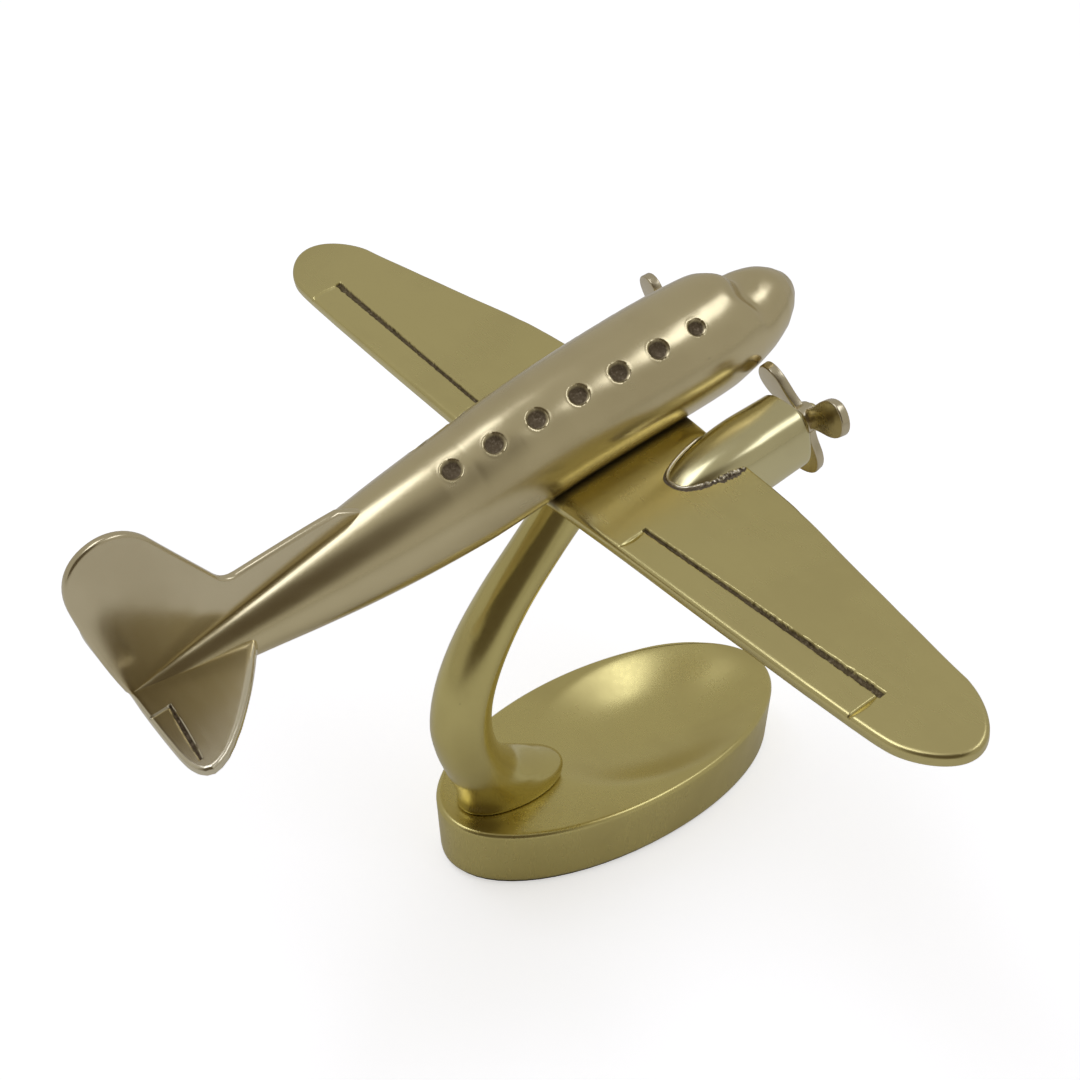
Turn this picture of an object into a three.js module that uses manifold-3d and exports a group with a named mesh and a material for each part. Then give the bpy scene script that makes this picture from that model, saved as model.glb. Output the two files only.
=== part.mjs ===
// Desk model of a twin-engined airliner in polished cast brass. It climbs on a curved strut
// that stands on an oval base with a shallow dish. Both three-bladed propellers turn freely.
//
// Frame: millimetres, +Z up, +X towards the nose, +Y to port. The origin is the centre of the
// underside of the felt, on the surface that the model stands on.
// The aeroplane is drawn level in a frame of its own, whose origin lies in the wing's middle
// plane, and is then pitched nose up and set on the strut.

import * as THREE from "three";
import { mergeVertices } from "three/addons/utils/BufferGeometryUtils.js";
import Module from "manifold-3d";

const wasm = await Module();
wasm.setup();

// ---------------------------------------------------------------- driving dimensions

const GAP = 0.3; // clearance between pieces that touch
const PITCH = 11; // nose-up angle of the aeroplane, degrees
const WING_PLACE = [-21, 0, 149]; // the aeroplane's own origin in the model's frame

const FELT_THICK = 1.2;
const BASE = { length: 142, width: 72, top: 24.5, edge: 1.2, draft: 1 };
const DISH = { x: 19, length: 96, width: 62, depth: 9 };

const WING = { span: 330, top: 1.7, under: -2.9, edge: 1.3, dihedral: 1 };
const GROOVE = { width: 1.4, depth: 0.9 };

const TAIL_X = -149; // end of the fuselage, in the aeroplane's frame
const NOSE_X = 95.4;
const PLATE_THICK = 3.2; // fin and tailplane

const ENGINE = { y: 33, z: -4.4, front: 62, tail: 9, full: 46, halfWidth: 11.1, halfHeight: 11.6 };
const PROPELLER = { x: 68.8, radius: 21.6, thick: 3.2, hubRadius: 4.8, hubLength: 5.6, pitch: -10 };
const FIRST_BLADE = { port: 65, starboard: 31 }; // degrees from +Y towards +Z, as they rest

const PIN = { radius: 1.6, bore: 1.85, headRadius: 3.4, headThick: 2.2, start: 50 };
const WASHER = { radius: 3.6, thick: 3.6 };
const FOOT_SCREW = { radius: 2.5, clearance: 2.9, headRadius: 4, headThick: 3.2 };
const FOOT_SCREW_X = [-58, -46];
const WING_SCREW = { radius: 2, clearance: 2.35, headRadius: 4, length: 15 };
const WING_SCREW_X = { front: 33, rear: -8.5 };
const STUD = { radius: 2.5, x: 10, below: 9, above: 12 };

// ---------------------------------------------------------------- materials

const brass = (name, colour, roughness) =>
  new THREE.MeshStandardMaterial({ name, color: colour, metalness: 1, roughness });
const castBrass = brass("cast brass", 0xa89e66, 0.32);
const propellerBrass = brass("propeller brass", 0xb8ab85, 0.38);
const screwBrass = brass("screw brass", 0xb09a5a, 0.35);
const screwSteel = new THREE.MeshStandardMaterial({ color: 0x8c8c88, metalness: 1, roughness: 0.45 });
const felt = new THREE.MeshStandardMaterial({ color: 0x2b2a26, metalness: 0, roughness: 0.95 });

// ---------------------------------------------------------------- working tools

// A closed three.js geometry as a solid.
function solid(geometry) {
  const bare = geometry.clone();
  bare.deleteAttribute("normal");
  bare.deleteAttribute("uv");
  const merged = mergeVertices(bare, 1e-4);
  return new wasm.Manifold(
    new wasm.Mesh({
      numProp: 3,
      vertProperties: new Float32Array(merged.attributes.position.array),
      triVerts: new Uint32Array(merged.index.array),
    }),
  );
}

function geometryOf(body) {
  const mesh = body.getMesh();
  const geometry = new THREE.BufferGeometry();
  geometry.setAttribute("position", new THREE.BufferAttribute(mesh.vertProperties, mesh.numProp));
  geometry.setIndex(new THREE.BufferAttribute(mesh.triVerts, 1));
  geometry.computeVertexNormals();
  return geometry;
}

// A solid moved by turning it about X, Y and Z in degrees and then placing it.
function placed(body, [x, y, z], [turnX, turnY, turnZ] = [0, 0, 0]) {
  return body.rotate([turnX, turnY, turnZ]).translate([x, y, z]);
}

// A smooth curve through [x, value] points, as a function of x.
function through(points) {
  const curve = new THREE.SplineCurve(points.map(([x, value]) => new THREE.Vector2(x, value)));
  const last = points.length - 1;
  return (x) => {
    const after = points.findIndex((p) => p[0] > x);
    if (after === 0) return points[0][1];
    if (after < 0) return points[last][1];
    const [x0, x1] = [points[after - 1][0], points[after][0]];
    return curve.getPoint((after - 1 + (x - x0) / (x1 - x0)) / last).y;
  };
}

// A tube whose cross-sections place(share, cos, sin, rim) sets: share runs from 0 to 1 along it,
// cos and sin go round the section, and rim is 1 on the skin and 0 at the middle of an end cap.
function loft(rings, sides, place) {
  const geometry = new THREE.CylinderGeometry(1, 1, 1, sides, rings);
  const position = geometry.attributes.position;
  for (let i = 0; i < position.count; i += 1) {
    const [sin, along, cos] = [position.getX(i), position.getY(i), position.getZ(i)];
    const rim = Math.hypot(sin, cos) > 0.5 ? 1 : 0;
    const length = rim ? Math.hypot(sin, cos) : 1;
    position.setXYZ(i, ...place(along + 0.5, cos / length, sin / length, rim));
  }
  return solid(geometry);
}

// cos or sin bent from a circle towards a rounded square.
const squared = (value, power) => Math.sign(value) * Math.abs(value) ** (2 / power);

function cylinder(radius, length, sides = 24) {
  const geometry = new THREE.CylinderGeometry(radius, radius, length, sides);
  geometry.rotateX(Math.PI / 2);
  return solid(geometry);
}

// A turned piece: [radius, height] points, closed on the axis or on themselves, about +Z.
function turned(points, sides = 24) {
  const geometry = new THREE.LatheGeometry(
    points.map(([radius, height]) => new THREE.Vector2(radius, height)),
    sides,
  );
  geometry.rotateX(Math.PI / 2);
  return solid(geometry);
}

// A plate cut to a Shape in the XY plane, with rounded edges, between two heights.
function plate(shape, low, high, edge, curveSegments = 6) {
  const geometry = new THREE.ExtrudeGeometry(shape, {
    depth: high - low - 2 * edge,
    bevelEnabled: true,
    bevelThickness: edge,
    bevelSize: edge,
    bevelOffset: -edge,
    bevelSegments: 2,
    curveSegments,
  });
  geometry.translate(0, 0, low + edge);
  return solid(geometry);
}

const parts = new THREE.Group();
const aeroplane = new THREE.Group();
aeroplane.position.set(...WING_PLACE);
aeroplane.rotation.y = THREE.MathUtils.degToRad(-PITCH);
parts.add(aeroplane);

function add(group, name, body, material) {
  const mesh = new THREE.Mesh(geometryOf(body), material);
  mesh.name = name;
  group.add(mesh);
  return mesh;
}

const SIDES = { port: 1, starboard: -1 };

// ---------------------------------------------------------------- base, felt and foot screws

function oval(profile, length, width, sides) {
  return turned(profile, sides).scale([length / 2, width / 2, 1]);
}

function base() {
  const { length, width, top, edge, draft } = BASE;
  const under = FELT_THICK + GAP;
  const rim = edge / (width / 2);
  const foot = 1 - draft / (width / 2);
  const body = oval(
    [[0, under], [foot, under], [1, top - edge], [1 - rim * 0.3, top - edge * 0.3], [1 - rim, top], [0, top]],
    length,
    width,
    64,
  );
  // The dish falls away softly from its rim and is flat in the middle.
  const steps = 9;
  const bowl = [[0, top + 5], [1, top + 5]];
  for (let i = 0; i <= steps; i += 1) {
    const share = 1 - i / steps;
    bowl.push([share, top - DISH.depth * Math.cos((share ** 1.6 * Math.PI) / 2)]);
  }
  const dish = oval(bowl.reverse(), DISH.length, DISH.width, 40).translate([DISH.x, 0, 0]);
  let made = body.subtract(dish);
  for (const x of FOOT_SCREW_X) {
    made = made
      .subtract(placed(cylinder(FOOT_SCREW.clearance, 60), [x, 0, 0]))
      .subtract(placed(cylinder(FOOT_SCREW.headRadius + 0.9, 12), [x, 0, under + 4]));
  }
  return made;
}

const feltEdge = 1.5; // how far the felt stays inside the base
const feltPad = oval(
  [[0, 0], [1, 0], [1, FELT_THICK], [0, FELT_THICK]],
  BASE.length - 2 * (BASE.draft + feltEdge),
  BASE.width - 2 * (BASE.draft + feltEdge),
  64,
);
add(parts, "base", base(), castBrass);
add(parts, "base_felt", feltPad, felt);

// A cheese-headed screw that points up, with a slot in its head.
function footScrew() {
  const { radius, headRadius, headThick } = FOOT_SCREW;
  const slot = solid(new THREE.BoxGeometry(3 * headRadius, 1.2, 1.6));
  return turned([
    [0, 0],
    [headRadius, 0],
    [headRadius, headThick],
    [radius, headThick],
    [radius, 22],
    [radius - 0.8, 23],
    [0, 23],
  ]).subtract(slot);
}

const counterboreTop = FELT_THICK + GAP + 10;
const washerThick = 1;
FOOT_SCREW_X.forEach((x, i) => {
  const end = ["rear", "front"][i];
  const seat = counterboreTop - GAP - washerThick;
  const ring = turned([
    [FOOT_SCREW.clearance, 0],
    [FOOT_SCREW.headRadius + 0.4, 0],
    [FOOT_SCREW.headRadius + 0.4, washerThick],
    [FOOT_SCREW.clearance, washerThick],
    [FOOT_SCREW.clearance, 0],
  ]);
  add(parts, `foot_washer_${end}`, placed(ring, [x, 0, seat]), screwSteel);
  const head = seat - GAP - FOOT_SCREW.headThick;
  add(parts, `foot_screw_${end}`, placed(footScrew(), [x, 0, head]), screwSteel);
});

// ---------------------------------------------------------------- strut

// Each section of the strut is an oval: [middle x, middle z, lean in degrees, half length, half width].
// It starts as the oval foot on the base, sweeps back, and then leans forward up to the wing.
const STRUT_SECTIONS = [
  [-44, BASE.top + GAP, 0, 20.5, 11.5],
  [-44.2, 29.5, 0, 19.8, 11.1],
  [-48.5, 34, 0, 15.6, 10.7],
  [-55.5, 40.5, 2, 12.2, 10.7],
  [-61, 51, 5, 10.9, 11],
  [-63.3, 63, 8, 10.4, 11],
  [-61.5, 77, 18, 9.8, 10.6],
  [-55.5, 92, 28, 9, 10.1],
  [-45.9, 107, 36, 8.4, 9.3],
  [-34, 121, 41, 8.2, 8.7],
  [-20, 136, 43, 9, 8.4],
  [-5, 151, 44, 12.4, 9],
  [6, 162, 45, 14.5, 9.2],
];

const pitched = (body) => placed(body, WING_PLACE, [0, -PITCH, 0]);

function strut() {
  const count = STRUT_SECTIONS.length - 1;
  const [x, z, lean, half, side] = [0, 1, 2, 3, 4].map((k) => through(STRUT_SECTIONS.map((s, i) => [i, s[k]])));
  const leg = loft(44, 28, (share, cos, sin, rim) => {
    const at = share * count;
    const tilt = THREE.MathUtils.degToRad(lean(at));
    const along = rim * half(at) * squared(cos, 2.2);
    return [x(at) + along * Math.cos(tilt), rim * side(at) * squared(sin, 2.2), z(at) - along * Math.sin(tilt)];
  });
  // The top is cut level with the wing's underside, and drilled for the stud.
  const above = pitched(solid(new THREE.BoxGeometry(90, 60, 60)).translate([0, 0, WING.under - GAP + 30]));
  const studHole = pitched(cylinder(STUD.radius + GAP, 2 * (STUD.below + 1)).translate([STUD.x, 0, WING.under]));
  let made = leg.subtract(above).subtract(studHole);
  for (const holeX of FOOT_SCREW_X) {
    made = made.subtract(placed(cylinder(FOOT_SCREW.radius + GAP, 24), [holeX, 0, BASE.top]));
  }
  return made;
}
add(parts, "strut", strut(), castBrass);

// ---------------------------------------------------------------- wing

// One half of the wing's outline. grow widens it all round for a slot.
function wingShape(grow) {
  const half = WING.span / 2 + grow;
  const shape = new THREE.Shape();
  shape.moveTo(-14.4 - grow, -1.5);
  shape.lineTo(-11.2 - grow, 146);
  shape.bezierCurveTo(-9.6 - grow, 157, -3, half, 5.5, half);
  shape.bezierCurveTo(12.5, half, 18.5 + grow, 158, 20 + grow, 147);
  shape.quadraticCurveTo(32.8 + grow, 85, 40 + grow, 8);
  shape.lineTo(40.4 + grow, -1.5);
  shape.closePath();
  return shape;
}

function wingBody(grow = 0) {
  const slab = plate(wingShape(grow), WING.under - grow, WING.top + grow, WING.edge, 8);
  // The halves reach past the middle, so that they join on one thick section.
  const half = placed(slab, [0, 0, 0], [WING.dihedral, 0, 0]);
  return half.add(half.mirror([0, 1, 0]));
}

// A straight chiselled groove in a top face, between two [x, y] points.
function groove([x0, y0], [x1, y1], top, width, depth) {
  const length = Math.hypot(x1 - x0, y1 - y0);
  const angle = THREE.MathUtils.radToDeg(Math.atan2(y1 - y0, x1 - x0));
  const bar = solid(new THREE.BoxGeometry(length, width, 2 * depth));
  return placed(bar, [(x0 + x1) / 2, (y0 + y1) / 2, top], [0, 0, angle]);
}

// The ailerons and flaps are only outlined by a long groove and a short one at each end.
const FLAP_LINE = { inner: [-2.6, 42.5], outer: [0.2, 135.5], trailing: -12.5 };

function wing() {
  let made = wingBody();
  for (const side of Object.values(SIDES)) {
    const [inner, outer] = [FLAP_LINE.inner, FLAP_LINE.outer].map(([x, y]) => [x, side * y]);
    const cuts = [
      [inner, outer, GROOVE.width],
      [inner, [FLAP_LINE.trailing, inner[1]], 0.8],
      [outer, [FLAP_LINE.trailing, outer[1]], 0.8],
    ];
    for (const [from, to, width] of cuts) {
      const middle = Math.abs(from[1] + to[1]) / 2;
      const rise = Math.tan(THREE.MathUtils.degToRad(WING.dihedral)) * middle;
      const cut = groove(from, to, WING.top, width, GROOVE.depth + 0.6);
      made = made.subtract(cut.translate([0, 0, rise + 0.6 - (from[1] === to[1] ? 0 : 0.2)]));
    }
  }
  for (const x of Object.values(WING_SCREW_X)) {
    made = made.subtract(placed(cylinder(WING_SCREW.clearance, 20), [x, 0, 0]));
    const sink = turned([
      [0, -2],
      [WING_SCREW.headRadius + GAP, -2],
      [WING_SCREW.headRadius + GAP, GAP],
      [WING_SCREW.clearance, 2.4],
      [0, 2.4],
    ]);
    made = made.subtract(placed(sink, [x, 0, WING.under]));
  }
  return made.subtract(placed(cylinder(STUD.radius + GAP, 20), [STUD.x, 0, 0]));
}
add(aeroplane, "wing", wing(), castBrass);

// ---------------------------------------------------------------- fuselage

// Half width of the fuselage, its height above and below the axis, and the axis, along X.
const hullSide = through([
  [TAIL_X, 1.6], [-132, 5.4], [-113, 8.8], [-92, 12.2], [-72, 14.8], [-54, 16.6], [-36, 17.8],
  [-18, 18.5], [0, 18.8], [20, 19.2], [42, 19.5], [58, 18.9], [69, 16.8], [77, 14.4], [84, 11.6], [89.5, 7.6],
  [93.2, 4], [NOSE_X, 0.4],
]);
const hullUp = through([
  [TAIL_X, 1.6], [-132, 5.4], [-113, 8.8], [-92, 12.2], [-72, 14.8], [-54, 16.6], [-36, 17.8],
  [-18, 18.5], [0, 18.8], [20, 19.2], [42, 19.5], [56, 19.3], [63, 19], [68.4, 18.2], [70.8, 16.2], [73, 13.8],
  [75.4, 12.9], [79.5, 12.8], [84, 11.4], [89.5, 7.6], [93.2, 4], [NOSE_X, 0.4],
]);
const hullAxis = through([
  [TAIL_X, 12], [-113, 12.7], [-72, 13.6], [-36, 15], [-18, 16.6], [0, 17.7], [20, 18.1], [40, 18],
  [62, 17.4], [77, 16.6], [90, 17.6], [NOSE_X, 17.8],
]);

function hull(grow = 0) {
  return loft(62, 32, (share, cos, sin, rim) => {
    const x = NOSE_X + grow - (NOSE_X - TAIL_X + 2 * grow) * (1 - share) ** 1.55;
    const reach = THREE.MathUtils.clamp(x, TAIL_X, NOSE_X);
    const high = sin > 0 ? hullUp(reach) : hullSide(reach);
    return [x, rim * (hullSide(reach) + grow) * cos, hullAxis(reach) + rim * (high + grow) * sin];
  });
}

// Cabin windows: a row of drill-point dimples high on each side, the front one smaller. The row
// climbs towards the ridge as it runs aft, and the port row was drilled a little lower.
const WINDOW = { count: 7, first: 46.7, step: -14.8, radius: 3.6, depth: 1.8, portDrop: 13 };
const windowAngle = through([[-42, 25.5], [-13, 32.4], [17, 37.4], [47, 38.8]]);

function windowDrills() {
  const drills = [];
  for (const side of Object.values(SIDES)) {
    for (let i = 0; i < WINDOW.count; i += 1) {
      const x = WINDOW.first + i * WINDOW.step;
      const radius = i === 0 ? 0.86 * WINDOW.radius : WINDOW.radius;
      const point = turned([[0, -WINDOW.depth], [radius, 0], [radius, 6], [0, 6]], 20);
      const angle = windowAngle(x) + (side > 0 ? WINDOW.portDrop : 0);
      const skin = placed(point.translate([0, 0, hullUp(x) - 0.4]), [0, 0, 0], [-side * angle, 0, 0]);
      drills.push(placed(skin, [x, 0, hullAxis(x)]));
    }
  }
  return drills;
}

function fuselage() {
  let made = hull().subtract(wingBody(GAP));
  for (const drill of windowDrills()) made = made.subtract(drill);
  for (const x of Object.values(WING_SCREW_X)) {
    made = made.subtract(placed(cylinder(WING_SCREW.radius + GAP, 2 * (WING_SCREW.length - 1)), [x, 0, 0]));
  }
  return made.subtract(placed(cylinder(STUD.radius + GAP, 2 * (STUD.above + 1)), [STUD.x, 0, 0]));
}
add(aeroplane, "fuselage", fuselage(), castBrass);

// ---------------------------------------------------------------- fin and tailplane

// The fin in side view, with the low dorsal ridge that runs forward from it.
function finShape() {
  const shape = new THREE.Shape();
  shape.moveTo(-150, 13.6);
  shape.lineTo(-69, 20);
  shape.lineTo(-69.5, 27);
  shape.quadraticCurveTo(-71, 31.6, -75, 32);
  shape.quadraticCurveTo(-95, 33.4, -111, 31.6);
  shape.quadraticCurveTo(-114, 31.2, -115.5, 34.5);
  shape.lineTo(-127.6, 56.5);
  shape.bezierCurveTo(-131.5, 64.5, -138, 66.8, -143.5, 65.8);
  shape.bezierCurveTo(-151, 64.4, -155.8, 58.5, -155, 48);
  shape.quadraticCurveTo(-153.8, 32, -150, 13.6);
  return shape;
}

function fin() {
  const half = PLATE_THICK / 2;
  const upright = plate(finShape(), -half, half, 0.9, 6).rotate([90, 0, 0]);
  return upright.subtract(hull(GAP));
}
add(aeroplane, "fin", fin(), castBrass);

const TAILPLANE_Z = 13.2;

function tailplaneShape() {
  const shape = new THREE.Shape();
  shape.moveTo(-149.5, 0);
  shape.lineTo(-112.5, 0);
  shape.lineTo(-113.5, 8);
  shape.quadraticCurveTo(-121, 19, -128.5, 28.5);
  shape.bezierCurveTo(-135, 37.5, -139.5, 41.2, -144.5, 41.4);
  shape.bezierCurveTo(-149.5, 41.4, -151, 36.5, -151, 29);
  shape.lineTo(-150.6, 8);
  shape.closePath();
  return shape;
}

const ELEVATOR_LINE = [[-143.8, 13.5], [-146.4, 36.5]];
for (const [name, side] of Object.entries(SIDES)) {
  const half = PLATE_THICK / 2;
  let made = plate(tailplaneShape(), -half, half, 0.9, 6);
  const [inner, outer] = ELEVATOR_LINE;
  made = made
    .subtract(groove(inner, outer, half, 1.2, GROOVE.depth))
    .subtract(groove(inner, [-151.5, inner[1]], half, 0.7, GROOVE.depth))
    .translate([0, 0, TAILPLANE_Z]);
  if (side < 0) made = made.mirror([0, 1, 0]);
  // The part inside the fuselage is cut away, with the sliver left on its far side.
  const room = solid(new THREE.BoxGeometry(60, 60, 20)).translate([-132, side * 31.9, TAILPLANE_Z]);
  add(aeroplane, `tailplane_${name}`, made.intersect(room).subtract(hull(GAP)), castBrass);
}

// ---------------------------------------------------------------- engines and propellers

// The nacelle is a rounded box that tapers to a blunt point on top of the wing.
function nacelle() {
  const { front, tail, full, halfWidth, halfHeight } = ENGINE;
  const taper = (x) => Math.sqrt(Math.max(0, 1 - (Math.max(0, full - x) / (full - tail)) ** 2));
  const body = loft(26, 28, (share, cos, sin, rim) => {
    const x = front - (front - tail) * (1 - share) ** 0.8;
    const lip = share > 0.999 ? 0.93 : 1;
    const size = Math.max(0.03, taper(x)) * lip * rim;
    const belly = sin < 0 ? 1 : 0.98;
    return [x, size * halfWidth * squared(cos, 2.8), size * belly * halfHeight * squared(sin, 2.8)];
  });
  return body
    .translate([0, ENGINE.y, ENGINE.z])
    .subtract(wingBody(GAP))
    .subtract(placed(cylinder(PIN.radius + GAP, 40), [PIN.start + 19, ENGINE.y, ENGINE.z], [0, 90, 0]));
}

// One blade: a thick paddle with a round end, along +X from the hub.
function bladeShape() {
  const { radius, hubRadius } = PROPELLER;
  const shape = new THREE.Shape();
  shape.moveTo(hubRadius * 0.3, -3.2);
  shape.bezierCurveTo(9, -3.2, 11, -6, 15.5, -6);
  shape.bezierCurveTo(20, -6, radius, -3.4, radius, 0);
  shape.bezierCurveTo(radius, 3.4, 20, 6, 15.5, 6);
  shape.bezierCurveTo(11, 6, 9, 3.2, hubRadius * 0.3, 3.2);
  shape.closePath();
  return shape;
}

// The propeller about +X, with its hub's middle at the origin.
function propeller(firstBlade) {
  const { thick, hubRadius, hubLength, pitch } = PROPELLER;
  const blade = plate(bladeShape(), -thick / 2, thick / 2, 0.8, 5).rotate([pitch, 0, 0]);
  let made = cylinder(hubRadius, hubLength);
  for (let i = 0; i < 3; i += 1) made = made.add(blade.rotate([0, 0, firstBlade + 120 * i]));
  return made.subtract(cylinder(PIN.bore, 20)).rotate([90, 0, 90]);
}

const hubFront = PROPELLER.x + PROPELLER.hubLength / 2;
const hubBack = PROPELLER.x - PROPELLER.hubLength / 2;

// A round-headed pin that the propeller turns on, screwed into the nacelle.
function pin() {
  const head = hubFront + GAP;
  const { radius, headRadius, headThick, start } = PIN;
  return turned([
    [0, start + 1],
    [radius, start + 1],
    [radius, head],
    [headRadius, head],
    [headRadius, head + 0.6],
    [headRadius * 0.8, head + headThick * 0.75],
    [headRadius * 0.4, head + headThick],
    [0, head + headThick],
  ])
    .rotate([0, 90, 0]);
}

function spacer() {
  return turned([
    [PIN.bore, 0],
    [WASHER.radius, 0],
    [WASHER.radius, WASHER.thick],
    [PIN.bore, WASHER.thick],
    [PIN.bore, 0],
  ]).rotate([0, 90, 0]);
}

for (const [name, side] of Object.entries(SIDES)) {
  const starboardOrPort = (body) => (side < 0 ? body.mirror([0, 1, 0]) : body);
  const at = (x, body) => placed(body, [x, side * ENGINE.y, ENGINE.z]);
  add(aeroplane, `nacelle_${name}`, starboardOrPort(nacelle()), castBrass);
  add(aeroplane, `propeller_${name}`, at(PROPELLER.x, propeller(FIRST_BLADE[name])), propellerBrass);
  add(aeroplane, `propeller_pin_${name}`, at(0, pin()), screwBrass);
  const washerBack = (ENGINE.front + hubBack - WASHER.thick) / 2;
  add(aeroplane, `propeller_washer_${name}`, at(washerBack, spacer()), screwBrass);
}

// ---------------------------------------------------------------- wing screws and stud

function wingScrew() {
  const { radius, headRadius, length } = WING_SCREW;
  const slot = solid(new THREE.BoxGeometry(3 * headRadius, 0.9, 1.8));
  return turned([
    [0, 0],
    [headRadius, 0],
    [radius, 2.1],
    [radius, length - 1],
    [radius - 0.6, length],
    [0, length],
  ]).subtract(slot);
}
for (const [end, x] of Object.entries(WING_SCREW_X)) {
  add(aeroplane, `wing_screw_${end}`, placed(wingScrew(), [x, 0, WING.under]), screwSteel);
}
const studMiddle = WING.under + (STUD.above - STUD.below) / 2;
const stud = cylinder(STUD.radius, STUD.above + STUD.below - 2).translate([STUD.x, 0, studMiddle]);
add(aeroplane, "strut_stud", stud, screwSteel);

export default parts;
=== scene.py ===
import math

import bmesh
import bpy
from mathutils import Matrix, Vector, noise


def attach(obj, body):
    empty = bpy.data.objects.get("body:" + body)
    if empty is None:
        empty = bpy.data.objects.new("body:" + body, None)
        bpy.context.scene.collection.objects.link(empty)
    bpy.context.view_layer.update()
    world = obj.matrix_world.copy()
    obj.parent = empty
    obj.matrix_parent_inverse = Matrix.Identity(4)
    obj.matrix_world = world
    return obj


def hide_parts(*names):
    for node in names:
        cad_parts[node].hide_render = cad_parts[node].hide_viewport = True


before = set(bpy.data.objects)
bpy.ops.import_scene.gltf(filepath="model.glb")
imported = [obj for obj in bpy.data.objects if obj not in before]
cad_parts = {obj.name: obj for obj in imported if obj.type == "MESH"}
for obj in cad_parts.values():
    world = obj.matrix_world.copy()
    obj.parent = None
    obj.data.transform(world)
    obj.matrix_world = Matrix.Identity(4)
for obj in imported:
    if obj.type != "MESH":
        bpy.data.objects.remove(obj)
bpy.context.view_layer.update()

# ------------------------------------------------------------------ the base
# A solid oval casting of brass, heavy enough to hold the aeroplane up in its climb. The wall is
# linished almost upright, the rim is rubbed round and shines, and a soft dish lies forward in the top.

MILLIMETRES = Matrix.Scale(0.001, 4)


def skin(columns, rows, place):
    """A sheet of quads with its corners where place(across, along) says; ends that meet are sewn up."""
    bm = bmesh.new()
    bmesh.ops.create_grid(bm, x_segments=columns, y_segments=rows, size=1)
    for corner in bm.verts:
        corner.co = place((corner.co.x + 1) / 2, (corner.co.y + 1) / 2)
    bmesh.ops.remove_doubles(bm, verts=bm.verts, dist=1e-4)
    return bm


def through(points):
    """A smooth curve through (x, value) points, as a function of x."""

    def value(x):
        x = min(max(x, points[0][0]), points[-1][0])
        k = 0
        while k < len(points) - 2 and points[k + 1][0] <= x:
            k += 1
        before, here, there = points[max(k - 1, 0)][1], points[k][1], points[k + 1][1]
        after = points[min(k + 2, len(points) - 1)][1]
        t = (x - points[k][0]) / (points[k + 1][0] - points[k][0])
        start, end = (there - before) / 2, (after - here) / 2
        cubic = 2 * here - 2 * there + start + end
        square = 3 * there - 3 * here - 2 * start - end
        return ((cubic * t + square) * t + start) * t + here

    return value


def step(low, high, x):
    """0 below low, 1 above high and smooth between them."""
    t = min(max((x - low) / (high - low), 0), 1)
    return t * t * (3 - 2 * t)


def finish_piece(
    bm, name, material, stands_for=(), body="model", lay=None, crease=50
):
    """Makes the object from a mesh in millimetres, laid in its place, and tells the frame about it."""
    bmesh.ops.transform(bm, matrix=MILLIMETRES @ (lay or Matrix()), verts=bm.verts)
    bmesh.ops.recalc_face_normals(bm, faces=bm.faces)
    mesh = bpy.data.meshes.new(name)
    bm.to_mesh(mesh)
    bm.free()
    mesh.polygons.foreach_set("use_smooth", [True] * len(mesh.polygons))
    mesh.set_sharp_from_angle(angle=math.radians(crease))
    made = bpy.data.objects.new(name, mesh)
    bpy.context.collection.objects.link(made)
    mesh.materials.append(material)
    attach(made, body)
    if stands_for:
        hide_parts(*stands_for)
    return made


def socket(group, name, kind, default=None, out=False):
    made = group.interface.new_socket(name, in_out="OUTPUT" if out else "INPUT", socket_type=kind)
    if default is not None:
        made.default_value = default


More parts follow.
